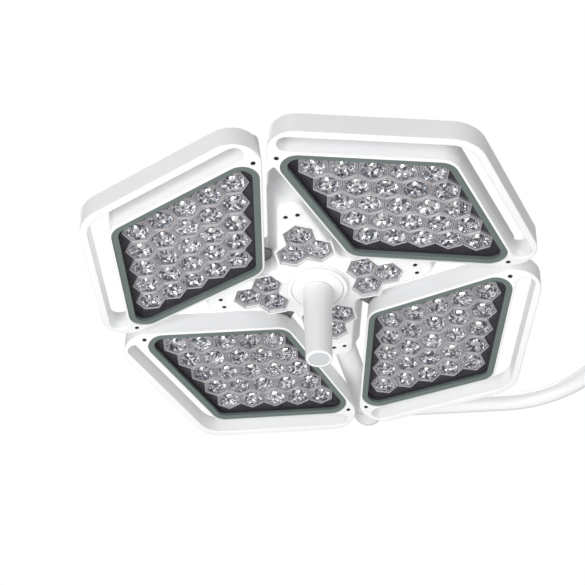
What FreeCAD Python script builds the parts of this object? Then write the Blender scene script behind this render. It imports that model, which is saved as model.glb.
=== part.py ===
"""Dental operating light: a four-petal LED head on a curved yoke, with its swivel and arm spindle."""
import FreeCAD, Part
import math
import os
import re
import Sketcher

V = FreeCAD.Vector
Place = FreeCAD.Placement
Turn = FreeCAD.Rotation

doc = FreeCAD.newDocument("operating_light")

# ---- Driving dimensions, in millimetres and degrees -------------------------------------------
SIZES = (
    ("petal_ring", 195.8, "lamp axis to the middle of a petal"),
    ("petal_tilt", 8.39, "lean of each petal towards the patient at its outer end"),
    ("casing_apothem", 97.5, "petal middle to the outside of a casing wall"),
    ("casing_wall", 3.0, "casing wall"),
    ("casing_front", 12.0, "lens faces to the casing's front rim"),
    ("casing_back", 18.0, "lens faces to the casing's back edge"),
    ("cavity_acute", 23.0, "corner radius of the casing's inside, sharp corners"),
    ("cavity_obtuse", 24.0, "corner radius of the casing's inside, wide corners"),
    ("loop_apothem", 132.0, "petal middle to the outside of the handle loop"),
    ("loop_width", 10.0, "width of the handle loop's bar"),
    ("loop_acute", 36.0, "corner radius of the loop at the sharp corners"),
    ("loop_obtuse", 50.0, "corner radius of the loop at the outer corner"),
    ("loop_edge", 2.0, "rounding of the front edges of casing and loop"),
    ("slot_inset", 18.9, "casing's sharp corner to the end of the finger slot"),
    ("cover_depth", 18.0, "depth of a petal's back cover"),
    ("cover_wall", 2.5, "back cover wall"),
    ("cover_acute", 12.0, "corner radius of the back cover, sharp corners"),
    ("cover_edge", 9.0, "rounding of the back cover's edge"),
    ("bezel_width", 8.5, "width of the bezel ring"),
    ("bezel_height", 5.0, "height of the bezel ring"),
    ("bezel_sink", 1.5, "casing rim to the bezel's face"),
    ("window_thick", 2.5, "clear window"),
    ("fit_gap", 0.2, "clearance between seated plastic pieces"),
    ("lens_share", 0.36923, "distance between neighbouring lenses as a share of the casing's apothem"),
    ("lens_gap", 0.6, "gap between lens flanges"),
    ("lens_flange", 3.0, "thickness of a lens flange"),
    ("lens_depth", 16.4, "height of a lens"),
    ("lens_foot", 6.5, "radius of a lens cone at the board"),
    ("led_radius", 3.0, "LED dome radius"),
    ("led_height", 2.4, "LED dome height"),
    ("tray_drop", 4.5, "lens faces to the tray floor"),
    ("tray_floor", 2.0, "tray floor thickness"),
    ("tray_wall", 2.5, "tray wall thickness"),
    ("tray_gap", 1.0, "casing wall to the tray"),
    ("board_thick", 1.6, "circuit board thickness"),
    ("sink_plate", 4.0, "heat sink plate thickness"),
    ("sink_seat", 1.6, "casing outside to the heat sink plate's edge"),
    ("fin_height", 9.0, "heat sink fin height"),
    ("fin_pitch", 12.0, "heat sink fin spacing"),
    ("fin_thick", 2.5, "heat sink fin thickness"),
    ("corner_inset", 21.0, "casing's sharp corner to its corner screw"),
    ("screw_radius", 2.0, "screw shank radius"),
    ("screw_head", 3.0, "screw head radius"),
    ("head_height", 1.6, "screw head height"),
    ("screw_bite", 12.0, "length of a corner screw inside the back cover"),
    ("hole_gap", 0.1, "clearance round a screw shank"),
    ("bracket_width", 24.0, "petal bracket width"),
    ("bracket_thick", 3.0, "petal bracket thickness"),
    ("bracket_outer", 50.0, "petal middle to the bracket's end under the heat sink"),
    ("bracket_inner", 30.0, "lamp axis to the bracket's end in the chassis"),
    ("bracket_bolt", 42.0, "lamp axis to the bracket bolts"),
    ("hub_face", 19.0, "petal lens plane to the hub's front face"),
    ("hub_plate", 4.0, "hub front plate thickness"),
    ("hub_wall", 3.0, "hub side wall"),
    ("hub_flare", 15.0, "outward slope of the hub walls from face to seam"),
    ("hub_edge", 5.0, "rounding of the hub's front edge"),
    ("hub_depth", 30.0, "depth of the hub's back cover"),
    ("rear_edge", 7.0, "rounding of the hub back cover's edge"),
    ("tip_reach", 160.0, "lamp axis to the end of a hub tip"),
    ("tip_half", 19.0, "half width of a hub tip at its screws"),
    ("tip_screw", 139.0, "lamp axis to the tip screws"),
    ("tip_pair", 16.0, "distance between a tip's two screws"),
    ("tip_taper", 15.0, "slope of each side of a hub tip"),
    ("tip_round", 16.0, "corner radius at a hub tip"),
    ("notch_round", 12.0, "radius in the notches between the tips"),
    ("frame_half", 10.0, "half width of the chassis and board arms at the tip screws"),
    ("board_reach", 121.0, "lamp axis to the end of the hub board's arms"),
    ("frame_reach", 150.0, "lamp axis to the end of the chassis arms"),
    ("frame_plate", 4.0, "chassis plate thickness"),
    ("frame_top", 28.0, "lens plane to the chassis pads under the screw pillars"),
    ("chassis_radius", 52.0, "chassis drum radius"),
    ("chassis_back", 76.0, "lens plane to the chassis' back"),
    ("cluster_inner", 68.0, "lamp axis to the inner pair of a cluster"),
    ("cluster_drop", 3.5, "hub face to the cluster lens faces"),
    ("pane_margin", 2.0, "pane edge outside a cluster lens"),
    ("pane_thick", 2.3, "cluster pane thickness"),
    ("pane_drop", 0.6, "hub face to the cluster pane"),
    ("rim_width", 2.2, "width of the raised outline round a pane"),
    ("rim_height", 0.8, "height of the raised outline round a pane"),
    ("hub_screw", 16.0, "hub screw length under the head"),
    ("ring_radius", 44.0, "handle ring radius"),
    ("ring_step", 42.5, "radius of the handle ring's upper step"),
    ("ring_base", 3.0, "height of the handle ring's base"),
    ("ring_height", 7.5, "height of the handle ring"),
    ("ring_lip", 36.5, "bore of the handle ring's lip"),
    ("lip_thick", 3.0, "thickness of the handle ring's lip"),
    ("focus_flange", 40.0, "radius of the focus core's flange"),
    ("turn_gap", 0.5, "gap beside faces that turn past each other"),
    ("seam_gap", 1.4, "open seam between stub and elbow"),
    ("run_gap", 0.05, "radial clearance of a turning shaft"),
    ("core_radius", 13.0, "focus core radius"),
    ("core_top", 84.0, "lens plane to the focus core's free end"),
    ("core_back", 64.0, "lens plane to the focus core's back end"),
    ("sleeve_base", 20.5, "grip sleeve radius at the hub"),
    ("sleeve_tip", 17.5, "grip sleeve radius at its end"),
    ("sleeve_end", 110.0, "lens plane to the grip sleeve's end"),
    ("sleeve_roof", 14.0, "solid length at the grip sleeve's end"),
    ("cap_radius", 14.0, "end cap radius"),
    ("cap_depth", 6.0, "end cap depth"),
    ("detent_height", 60.0, "lens plane to the detent ring"),
    ("detent_width", 3.0, "detent ring width"),
    ("axis_depth", 54.0, "lens plane to the yoke's two axes"),
    ("stub_radius", 17.5, "stub tube radius"),
    ("stub_bore", 13.0, "stub tube bore"),
    ("stub_start", 128.0, "lamp axis to the stub tube's inner end"),
    ("socket_wall", 3.5, "wall of the chassis socket round the stub"),
    ("socket_end", 156.0, "lamp axis to the end of the chassis socket"),
    ("collar_radius", 24.0, "stub collar radius"),
    ("collar_length", 30.0, "stub collar length with its cone"),
    ("seam_reach", 338.0, "lamp axis to the seam between stub and elbow"),
    ("knuckle_radius", 25.0, "radius of the yoke's two end castings"),
    ("knuckle_length", 52.0, "length of the elbow past the seam"),
    ("pivot_radius", 9.0, "pivot pin radius"),
    ("pivot_length", 52.0, "pivot pin length"),
    ("bush_length", 35.0, "pivot bush length"),
    ("nut_length", 10.0, "pivot nut length"),
    ("nut_radius", 12.0, "pivot nut radius"),
    ("yoke_radius", 14.0, "yoke tube radius"),
    ("yoke_wall", 2.5, "yoke tube wall"),
    ("yoke_start", 360.4, "lamp axis to the yoke tube's first axis point"),
    ("yoke_slope", 9.89, "slope of the yoke tube's first run"),
    ("yoke_run", 227.5, "reach of the yoke tube's first run along X"),
    ("yoke_bend", 156.9, "yoke tube bend radius"),
    ("end_half", 24.0, "half length of the yoke's end casting"),
    ("swivel_arm", 100.0, "yoke tube axis to the swivel axis"),
    ("swivel_drop", 100.0, "arm shoulder to the yoke's axes"),
    ("housing_radius", 30.0, "swivel housing radius"),
    ("housing_foot", 32.0, "yoke axes to the swivel housing's lower end"),
    ("housing_edge", 6.0, "rounding of the swivel housing"),
    ("well_radius", 18.0, "radius of the well under the spindle bearing"),
    ("spindle_radius", 12.5, "arm spindle radius above the shoulder"),
    ("spindle_length", 55.0, "arm spindle length above the shoulder"),
    ("journal_radius", 12.0, "spindle journal radius"),
    ("journal_length", 52.0, "spindle journal length"),
    ("shoulder_radius", 24.0, "spindle shoulder radius"),
    ("shoulder_thick", 6.0, "spindle shoulder thickness"),
    ("bearing_length", 42.0, "length of the housing's spindle bearing"),
    ("clip_radius", 16.0, "spindle clip radius"),
    ("clip_thick", 2.0, "spindle clip thickness"),
    ("groove_depth", 1.5, "depth of the clip's and detent ring's grooves"),
)
sheet = doc.addObject("Spreadsheet::Sheet", "sizes")
for row, (alias, amount, meaning) in enumerate(SIZES, 1):
    sheet.set(f"A{row}", meaning)
    sheet.set(f"B{row}", str(amount))
    sheet.setAlias(f"B{row}", alias)
doc.recompute()

LENS_ROWS = 5
TIPS = 4
PETALS = (45, 135, 225, 315)
PITCH = "(casing_apothem * lens_share)"
MOUTH = f"({PITCH} / 2 - 2 * lens_gap)"
CLUSTER_OUTER = f"(cluster_inner + {PITCH} * cos(30))"
CORNER = "(casing_apothem / sin(30) - corner_inset)"
LENS_HALF = f"{PITCH} / 2"
SLOT_REACH = "(casing_apothem * tan(60) - slot_inset)"
nodes = {}


def cell(formula):
    """Point every size named in a formula at its cell of the sheet."""
    return re.sub(r"[a-z]+_[a-z]+", lambda word: "sizes." + word.group(), formula)


def number(formula):
    """Work a formula out from the sheet."""
    return float(sheet.evalExpression(cell(formula)))


def keep(name, piece):
    """Enter a finished piece in the list of nodes under its own label."""
    piece.Label = name
    nodes[name] = piece
    return piece


# ---- Where things stand -----------------------------------------------------------------------
# The lamp frame has its origin on the lamp axis in the lens plane and +Z towards the patient.
yoke_reach = number("yoke_run + yoke_bend * (1 + sin(yoke_slope))")
axes_at = V(-yoke_reach - number("swivel_arm"), 0, -number("swivel_drop"))
lamp = Place(axes_at - V(0, 0, number("axis_depth")), Turn(V(1, 0, 0), 180))
# The roll frame has +Z out along the stub, the pitch frame has +Z along the swivel's boss.
roll = lamp * Place(V(0, 0, -number("axis_depth")), Turn(V(1, 0, 0), 90))
pitch = lamp * Place(V(yoke_reach, 0, -number("axis_depth")), Turn(V(0, 1, 0), 90))
world = Place()


def petal_frame(angle):
    """+X away from the lamp axis, +Z out of the window, origin amid the lens faces."""
    lean = Turn(V(0, 1, 0), -number("petal_tilt"))
    return lamp * Place(V(), Turn(V(0, 0, 1), angle)) * Place(V(number("petal_ring"), 0, 0), lean)


# ---- Sketches and features --------------------------------------------------------------------
def new_body(name, frame):
    body = doc.addObject("PartDesign::Body", name)
    body.Placement = frame
    return body


def new_sketch(body, name, level="0", plane="XY_Plane"):
    """A sketch on one of the body's own origin planes, lifted to a level."""
    sketch = body.newObject("Sketcher::SketchObject", name)
    support = next(each for each in body.Origin.OriginFeatures if each.Role == plane)
    sketch.AttachmentSupport = [(support, "")]
    sketch.MapMode = "FlatFace"
    sketch.setExpression("AttachmentOffset.Base.z", cell(level))
    return sketch


def constrain(sketch, rules):
    """Add constraints together, then bind each one that has a formula."""
    first = sketch.ConstraintCount
    sketch.addConstraint([rule for rule, _ in rules])
    for index, (_, formula) in enumerate(rules, first):
        if formula:
            sketch.setExpression(f"Constraints[{index}]", cell(formula))


def pinned(shape, end, x, y):
    """Rules that hold a point of the sketch at two formulas."""
    rules = []
    for axis, kind, formula in ((-2, "DistanceX", x), (-1, "DistanceY", y)):
        if formula == "0":
            rules.append((Sketcher.Constraint("PointOnObject", shape, end, axis), None))
        else:
            rules.append((Sketcher.Constraint(kind, -1, 1, shape, end, number(formula)), formula))
    return rules


def outline(sketch, corners):
    """Draw a closed ring of lines; a corner with a third formula is rounded to that radius."""
    spots = [V(number(corner[0]), number(corner[1]), 0) for corner in corners]
    arcs = {}
    for index, corner in enumerate(corners):
        if len(corner) < 3:
            continue
        radius = number(corner[2])
        here = spots[index]
        back = (spots[index - 1] - here).normalize()
        ahead = (spots[(index + 1) % len(spots)] - here).normalize()
        half = back.getAngle(ahead) / 2
        enter = here + back * (radius / math.tan(half))
        leave = here + ahead * (radius / math.tan(half))
        middle = here + (back + ahead).normalize() * (radius / math.sin(half))
        arcs[index] = (enter, leave, middle, radius, back.cross(ahead).z < 0)
    first = sketch.GeometryCount
    lines = []
    for index in range(len(spots)):
        after = (index + 1) % len(spots)
        start = arcs[index][1] if index in arcs else spots[index]
        finish = arcs[after][0] if after in arcs else spots[after]
        lines.append(Part.LineSegment(start, finish))
    sketch.addGeometry(lines)
    rules = []
    for index, corner in enumerate(corners):
        line = first + index
        before = first + (index - 1) % len(corners)
        if index not in arcs:
            rules.append((Sketcher.Constraint("Coincident", before, 2, line, 1), None))
            rules.extend(pinned(line, 1, corner[0], corner[1]))
            continue
        enter, leave, middle, radius, convex = arcs[index]
        begin, end = (enter, leave) if convex else (leave, enter)
        spread = [math.atan2(each.y - middle.y, each.x - middle.x) for each in (begin, end)]
        circle = Part.Circle(middle, V(0, 0, 1), radius)
        arc = sketch.addGeometry(Part.ArcOfCircle(circle, *spread))
        point = sketch.addGeometry(Part.Point(spots[index]), True)
        near, far = (1, 2) if convex else (2, 1)
        rules.append((Sketcher.Constraint("Tangent", before, 2, arc, near), None))
        rules.append((Sketcher.Constraint("Tangent", arc, far, line, 1), None))
        rules.append((Sketcher.Constraint("Radius", arc, radius), corner[2]))
        rules.append((Sketcher.Constraint("PointOnObject", point, 1, before), None))
        rules.append((Sketcher.Constraint("PointOnObject", point, 1, line), None))
        rules.extend(pinned(point, 1, corner[0], corner[1]))
    constrain(sketch, rules)


def circles(sketch, centres, radius):
    """Draw equal circles round points given by formulas."""
    rules = []
    for x, y in centres:
        middle = V(number(x), number(y), 0)
        circle = sketch.addGeometry(Part.Circle(middle, V(0, 0, 1), number(radius)))
        rules.append((Sketcher.Constraint("Radius", circle, number(radius)), radius))
        rules.extend(pinned(circle, 3, x, y))
    constrain(sketch, rules)


def grow(body, sketch, length):
    """Pad a sketch upwards by a formula."""
    pad = body.newObject("PartDesign::Pad", sketch.Name + "_pad")
    pad.Profile = sketch
    pad.setExpression("Length", cell(length))
    sketch.Visibility = False
    return pad


def sink(body, sketch, depth):
    """Pocket a sketch downwards by a formula, and make sure that it removes material."""
    doc.recompute()
    before = body.Shape.Volume
    pocket = body.newObject("PartDesign::Pocket", sketch.Name + "_pocket")
    pocket.Profile = sketch
    pocket.setExpression("Length", cell(depth))
    sketch.Visibility = False
    doc.recompute()
    if body.Shape.Volume > before - 1e-6:
        raise RuntimeError(f"{pocket.Name} removes nothing")
    return pocket


def layer(body, name, top, depth, rings, cut=False):
    """One pad or pocket that reaches down from a level, bounded by one or more rings."""
    level = top if cut else f"{top} - ({depth})"
    sketch = new_sketch(body, name, level)
    for ring in rings:
        outline(sketch, ring)
    return sink(body, sketch, depth) if cut else grow(body, sketch, depth)


def holes(body, name, top, depth, centres, radius):
    """Equal round holes down from a level."""
    sketch = new_sketch(body, name, top)
    circles(sketch, centres, radius)
    return sink(body, sketch, depth)


def soften(body, name, feature, radius, chosen):
    """Fillet the edges of a feature that a test picks."""
    doc.recompute()
    edges = [f"Edge{index}" for index, edge in enumerate(feature.Shape.Edges, 1) if chosen(edge)]
    fillet = body.newObject("PartDesign::Fillet", name)
    fillet.Base = (feature, edges)
    fillet.setExpression("Radius", cell(radius))
    return fillet


def at_level(level):
    """A test for edges that lie flat at one level."""
    return lambda edge: abs(edge.BoundBox.ZMin - level) + abs(edge.BoundBox.ZMax - level) < 0.01


def turned(name, frame, profile):
    """A turned piece: a closed profile of (radius, height) formulas spun about the frame's Z."""
    body = new_body(name, frame)
    sketch = new_sketch(body, name + "_profile", plane="XZ_Plane")
    outline(sketch, profile)
    spin = body.newObject("PartDesign::Revolution", name + "_turn")
    spin.Profile = sketch
    spin.ReferenceAxis = (sketch, ["V_Axis"])
    sketch.Visibility = False
    return keep(name, body)


def tube_profile(inner, outer, low, high):
    """A plain ring's section."""
    return ((inner, low), (outer, low), (outer, high), (inner, high))


# ---- Part workbench pieces --------------------------------------------------------------------
def cylinder(name, frame, radius, low, high, x="0", y="0"):
    """A cylinder along the frame's Z between two levels."""
    piece = doc.addObject("Part::Cylinder", name)
    piece.setExpression("Radius", cell(radius))
    piece.setExpression("Height", cell(f"{high} - ({low})"))
    piece.Placement = frame * Place(V(number(x), number(y), number(low)), Turn())
    return piece


def block(name, frame, low, high):
    """A box between two corners of formulas."""
    piece = doc.addObject("Part::Box", name)
    for side, start, finish in zip(("Length", "Width", "Height"), low, high):
        piece.setExpression(side, cell(f"{finish} - ({start})"))
    piece.Placement = frame * Place(V(*(number(each) for each in low)), Turn())
    return piece


def joined(name, pieces):
    fuse = doc.addObject("Part::MultiFuse", name)
    fuse.Shapes = pieces
    return fuse


def cut_from(name, piece, tools):
    """Take tools away from a piece in one cut."""
    cut = doc.addObject("Part::Cut", name)
    cut.Base = piece
    cut.Tool = joined(name + "_tools", tools) if len(tools) > 1 else tools[0]
    return cut


# ---- Petal outlines ---------------------------------------------------------------------------
def kite(inner, outer, near, sharp, far):
    """A four-sided petal outline from its inner and outer apothems and three corner radii."""
    side = f"(({outer}) - ({inner})) / (2 * cos(30))"
    tall = f"({outer}) + ({inner})"
    return ((f"-({inner}) / cos(30)", "0", near), (side, f"-({tall})", sharp),
            (f"({outer}) / cos(30)", "0", far), (side, tall, sharp))


def rhombus(apothem):
    """A ring inside the casing, its corners concentric with the casing's cavity."""
    shrink = f"({apothem}) - casing_apothem + casing_wall"
    wide = f"cavity_obtuse + {shrink}"
    return kite(apothem, apothem, wide, f"cavity_acute + {shrink}", wide)


def slot():
    """The finger slot: a bent band between the casing and the loop, round the outer corner."""
    outer = "(loop_apothem - loop_width)"
    end = f"({outer} - casing_apothem) / 2 - fit_gap"
    upper = [(f"{apothem} * cos(30) - {SLOT_REACH} * sin(30)",
              f"{apothem} * sin(30) + {SLOT_REACH} * cos(30)") for apothem in (outer, "casing_apothem")]
    return ((f"{outer} / cos(30)", "0", "loop_obtuse - loop_width"), (*upper[0], end), (*upper[1], end),
            ("casing_apothem / cos(30)", "0", "cavity_obtuse + casing_wall"),
            (upper[1][0], f"-({upper[1][1]})", end), (upper[0][0], f"-({upper[0][1]})", end))


CAVITY = "(casing_apothem - casing_wall)"
TRAY = f"({CAVITY} - tray_gap)"
LENS_SPOTS = [(i, j) for i in range(-(LENS_ROWS // 2), LENS_ROWS // 2 + 1)
              for j in range(-(LENS_ROWS // 2), LENS_ROWS // 2 + 1)]
LENS_CENTRES = [(f"{PITCH} * {(i + j) / 2}" if i + j else "0",
                 f"{PITCH} * {i - j} * cos(30)" if i - j else "0") for i, j in LENS_SPOTS]
CORNERS = (("0", CORNER), ("0", f"-{CORNER}"))


# ---- Lenses: six-sided clear collimators, each over its own LED -------------------------------
def lens_shape(first_vertex):
    """One lens, its face at the origin, with its first vertex at an angle."""
    across = (number(f"{PITCH} - lens_gap") / 2) / math.cos(math.radians(30))
    turns = [math.radians(first_vertex + 60 * step) for step in range(7)]
    rim = [V(across * math.cos(turn), across * math.sin(turn), 0) for turn in turns]
    flange = Part.Face(Part.makePolygon(rim)).extrude(V(0, 0, -number("lens_flange")))
    tall = number("lens_depth - lens_flange")
    down = V(0, 0, -number("lens_depth"))
    cone = Part.makeCone(number("lens_foot"), number(MOUTH), tall, down)
    nest = Part.makeCylinder(number("led_radius + 3 * fit_gap"), number("led_height + 5 * fit_gap"), down)
    return flange.fuse(cone).cut(nest)


def lens_group(name, frame, lens, spots):
    """Place a lens at each spot of a frame as separate solids of one node."""
    group = doc.addObject("Part::Feature", name)
    group.Shape = Part.makeCompound([lens.translated(spot) for spot in spots])
    group.Placement = frame
    return keep(name, group)


# ---- Petals -----------------------------------------------------------------------------------
def make_casing(name, frame):
    """Front casing moulded in one with the handle loop round its two outer sides."""
    body = new_body(name, frame)
    tall = "casing_front + casing_back"
    whole = kite("casing_apothem", "loop_apothem", "cavity_obtuse + casing_wall", "loop_acute", "loop_obtuse")
    layer(body, name + "_outline", "casing_front", tall, [whole])
    handle = layer(body, name + "_slot", "casing_front", tall, [slot()], cut=True)
    soften(body, name + "_edge", handle, "loop_edge", at_level(number("casing_front")))
    layer(body, name + "_cavity", "casing_front", tall, [rhombus(CAVITY)], cut=True)
    holes(body, name + "_holes", "casing_front", tall, CORNERS, "screw_radius + hole_gap")
    holes(body, name + "_sinks", "casing_front", "head_height + fit_gap", CORNERS, "screw_head + fit_gap")
    keep(name, body)


def make_cover(name, frame):
    """Back cover: a shallow dish with a step for the heat sink and solid corners for the screws."""
    body = new_body(name, frame)
    wide = "cavity_obtuse + casing_wall"
    rim = kite("casing_apothem", "casing_apothem", wide, "cover_acute", wide)
    pad = layer(body, name + "_dish", "-casing_back", "cover_depth", [rim])
    soften(body, name + "_edge", pad, "cover_edge", at_level(-number("casing_back + cover_depth")))
    step = "(casing_apothem - sink_seat + fit_gap)"
    layer(body, name + "_step", "-casing_back", "sink_plate", [rhombus(step)], cut=True)
    well = "cover_depth - cover_wall"
    layer(body, name + "_well", "-casing_back", well, [rhombus(f"({CAVITY} - cover_edge / 2)")], cut=True)
    reach = "(casing_apothem / cos(30))"
    half = "(bracket_width / 2 + fit_gap)"
    gate = ((f"-{reach}", f"-{half}"), ("-bracket_outer + fit_gap", f"-{half}"),
            ("-bracket_outer + fit_gap", half), (f"-{reach}", half))
    layer(body, name + "_gate", "-casing_back", "sink_plate + bracket_thick + fit_gap", [gate], cut=True)
    holes(body, name + "_holes", "-casing_back", "screw_bite + hole_gap", CORNERS, "screw_radius + hole_gap")
    keep(name, body)


def make_bezel(name, frame):
    """Grey ring that holds the window down."""
    body = new_body(name, frame)
    top = "casing_front - bezel_sink"
    outer = f"({CAVITY} - fit_gap)"
    rings = [rhombus(outer), rhombus(f"({CAVITY} - bezel_width)")]
    layer(body, name + "_ring", top, "bezel_height", rings)
    keep(name, body)


def make_window(name, frame):
    body = new_body(name, frame)
    top = "casing_front - bezel_sink - bezel_height"
    layer(body, name + "_pane", top, "window_thick", [rhombus(TRAY)])
    keep(name, body)


def make_tray(name, frame):
    """Dark tray: a wall round the lenses and a floor with a hole for each lens cone."""
    body = new_body(name, frame)
    top = "casing_front - bezel_sink - bezel_height - window_thick"
    inside = f"({TRAY} - tray_wall)"
    layer(body, name + "_block", top, f"{top} + lens_depth", [rhombus(TRAY)])
    layer(body, name + "_front", top, f"{top} + tray_drop", [rhombus(inside)], cut=True)
    floor = "-tray_drop - tray_floor"
    slope = f"({MOUTH} - lens_foot) / (lens_depth - lens_flange)"
    radius = f"{MOUTH} - (tray_drop - lens_flange) * {slope} + 2 * fit_gap"
    holes(body, name + "_holes", "-tray_drop", "tray_floor", LENS_CENTRES, radius)
    sketch = new_sketch(body, name + "_back", floor)
    outline(sketch, rhombus(inside))
    sink(body, sketch, "lens_depth - tray_drop - tray_floor")
    keep(name, body)


def make_board(name, frame):
    """Circuit board with one LED dome under each lens."""
    body = new_body(name, frame)
    layer(body, name + "_plate", "-lens_depth", "board_thick", [rhombus(TRAY)])
    sketch = new_sketch(body, name + "_leds", "-lens_depth")
    circles(sketch, LENS_CENTRES, "led_radius")
    grow(body, sketch, "led_height")
    keep(name, body)


def make_sink(name, frame):
    """Finned aluminium plate that backs the board and carries the bracket."""
    body = new_body(name, frame)
    layer(body, name + "_plate", "-casing_back", "sink_plate", [rhombus("(casing_apothem - sink_seat)")])
    top = "-casing_back - sink_plate"
    layer(body, name + "_fins", top, "fin_height", [rhombus(f"({CAVITY} - cover_edge)")])
    length = "(2 * casing_apothem)"
    count = int(number(f"{CAVITY} / fin_pitch / cos(30)"))
    channels = []
    for place in range(-count, count):
        low = f"(fin_pitch * {place} + fin_thick / 2)"
        high = f"(fin_pitch * {place + 1} - fin_thick / 2)"
        channels.append(((low, f"-{length}"), (high, f"-{length}"), (high, length), (low, length)))
    layer(body, name + "_channels", top, "fin_height", channels, cut=True)
    half = "(bracket_width / 2 + 2 * fit_gap)"
    bay = ((f"-{length}", f"-{half}"), ("2 * fit_gap - bracket_outer", f"-{half}"),
           ("2 * fit_gap - bracket_outer", half), (f"-{length}", half))
    layer(body, name + "_bay", top, "fin_height", [bay], cut=True)
    keep(name, body)


def bracket_box(name, angle, gap):
    """The bar that a bracket takes up, from the heat sink into the chassis drum."""
    half = f"(bracket_width / 2 + {gap})"
    top = "-casing_back - sink_plate"
    inner = f"(bracket_inner - petal_ring - {gap}) / cos(petal_tilt)"
    return block(name, petal_frame(angle), (inner, f"-{half}", f"{top} - bracket_thick - {gap}"),
                 (f"-bracket_outer + {gap}", half, f"{top} + {gap}"))


def bolt_places(angle):
    """The two bolts that clamp a bracket in the chassis."""
    across = number("bracket_width / 4")
    along = Place(V(), Turn(V(0, 0, 1), angle))
    return [lamp * along * Place(V(number("bracket_bolt"), side * across, 0), Turn()) for side in (-1, 1)]


MAKERS = (("petal_casing", make_casing), ("petal_cover", make_cover), ("petal_bezel", make_bezel),
          ("petal_window", make_window), ("petal_tray", make_tray), ("petal_board", make_board),
          ("petal_sink", make_sink))
petal_lens = lens_shape(30)
lens_spots = [V(number(x), number(y), 0) for x, y in LENS_CENTRES]
for petal, petal_angle in enumerate(PETALS, 1):
    petal_place = petal_frame(petal_angle)
    for title, maker in MAKERS:
        maker(f"{title}_{petal}", petal_place)
    lens_group(f"petal_lenses_{petal}", petal_place, petal_lens, lens_spots)
    bar = bracket_box(f"bracket_bar_{petal}", petal_angle, "0")
    bores = [cylinder(f"bracket_bore_{petal}_{side}", spot, "screw_radius + hole_gap",
                      "-chassis_back", "-hub_face") for side, spot in enumerate(bolt_places(petal_angle))]
    keep(f"petal_bracket_{petal}", cut_from(f"petal_bracket_{petal}", bar, bores))


# ---- Screws -----------------------------------------------------------------------------------
def screw_shape(length):
    """A round head with a hexagon socket on a plain shank, head up, its underside at the origin."""
    head = Part.makeCylinder(number("screw_head"), number("head_height"))
    turns = [math.radians(60 * step) for step in range(7)]
    hexagon = [V(math.cos(turn), math.sin(turn), 0) for turn in turns]
    key = Part.Face(Part.makePolygon([each * (number("screw_radius") * 0.7) for each in hexagon]))
    drive = key.extrude(V(0, 0, number("head_height"))).translated(V(0, 0, number("head_height") / 3))
    shank = Part.makeCylinder(number("screw_radius"), length, V(0, 0, -length))
    return head.cut(drive).fuse(shank)


def screws(name, length, places):
    group = doc.addObject("Part::Feature", name)
    shape = screw_shape(length)
    solids = []
    for place in places:
        screw = shape.copy()
        screw.Placement = place
        solids.append(screw)
    group.Shape = Part.makeCompound(solids)
    group.Placement = world
    return keep(name, group)


corner_places = []
for petal_angle in PETALS:
    for side in (-1, 1):
        under_head = V(0, side * number(CORNER), number("casing_front - head_height - fit_gap"))
        corner_places.append(petal_frame(petal_angle) * Place(under_head, Turn()))
corner_length = number("casing_front - head_height - fit_gap + casing_back + screw_bite")
screws("petal_screws", corner_length, corner_places)


# ---- Hub --------------------------------------------------------------------------------------
def star(half, reach, notch, tip):
    """Four tapering tips at right angles, given the half width at the tip screws."""
    width = f"({half} + (tip_screw - ({reach})) * tan(tip_taper))"
    nook = f"(({half} + tip_screw * tan(tip_taper)) / (1 + tan(tip_taper)))"
    corners = []
    for turn in range(TIPS):
        for x, y, radius in ((reach, f"-{width}", tip), (reach, width, tip), (nook, nook, notch)):
            for _ in range(turn):
                x, y = f"-({y})", x
            corners.append((x, y, radius))
    return corners


SEAM = "-axis_depth"
FACE = "-hub_face"
SHARE = "(hub_plate / (axis_depth - hub_face))"
SLANT = "(hub_wall / cos(tip_taper))"
front_rings = (star("tip_half", "tip_reach", "notch_round", "tip_round"),
               star("(tip_half + hub_flare)", "(tip_reach + hub_flare)", "notch_round", "tip_round"))
inner_rings = (star(f"(tip_half + hub_flare * {SHARE} - {SLANT})",
                    f"(tip_reach + hub_flare * {SHARE} - hub_wall)",
                    "notch_round + hub_wall", "tip_round - hub_wall"),
               star(f"(tip_half + hub_flare - {SLANT})", "(tip_reach + hub_flare - hub_wall)",
                    "notch_round + hub_wall", "tip_round - hub_wall"))
front = new_body("hub_front", lamp)
for kind, levels, rings in (("AdditiveLoft", (FACE, SEAM), front_rings),
                            ("SubtractiveLoft", (f"{FACE} - hub_plate", SEAM), inner_rings)):
    sketches = []
    for step, (level, ring) in enumerate(zip(levels, rings)):
        sketches.append(new_sketch(front, f"front_{kind}_{step}", level))
        outline(sketches[-1], ring)
        sketches[-1].Visibility = False
    doc.recompute()
    loft = front.newObject(f"PartDesign::{kind}", f"front_{kind}")
    loft.Profile = sketches[0]
    loft.Sections = [sketches[1]]
    loft.Ruled = True
    if kind == "AdditiveLoft":
        soften(front, "front_rounding", loft, "hub_edge", at_level(number(FACE)))
    doc.recompute()

REAR = "(-axis_depth - hub_depth)"
rear = new_body("hub_rear", lamp)
dish = layer(rear, "rear_dish", SEAM, "hub_depth", [front_rings[1]])
soften(rear, "rear_rounding", dish, "rear_edge", at_level(number(REAR)))
layer(rear, "rear_well", SEAM, "hub_depth - hub_wall", [inner_rings[1]], cut=True)

TIP_TURNS = [lamp * Place(V(), Turn(V(0, 0, 1), 90 * turn)) for turn in range(TIPS)]
STUB_TIP = 3
CLUSTER = ((CLUSTER_OUTER, "0"), ("cluster_inner", LENS_HALF), ("cluster_inner", f"-{LENS_HALF}"))


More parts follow.
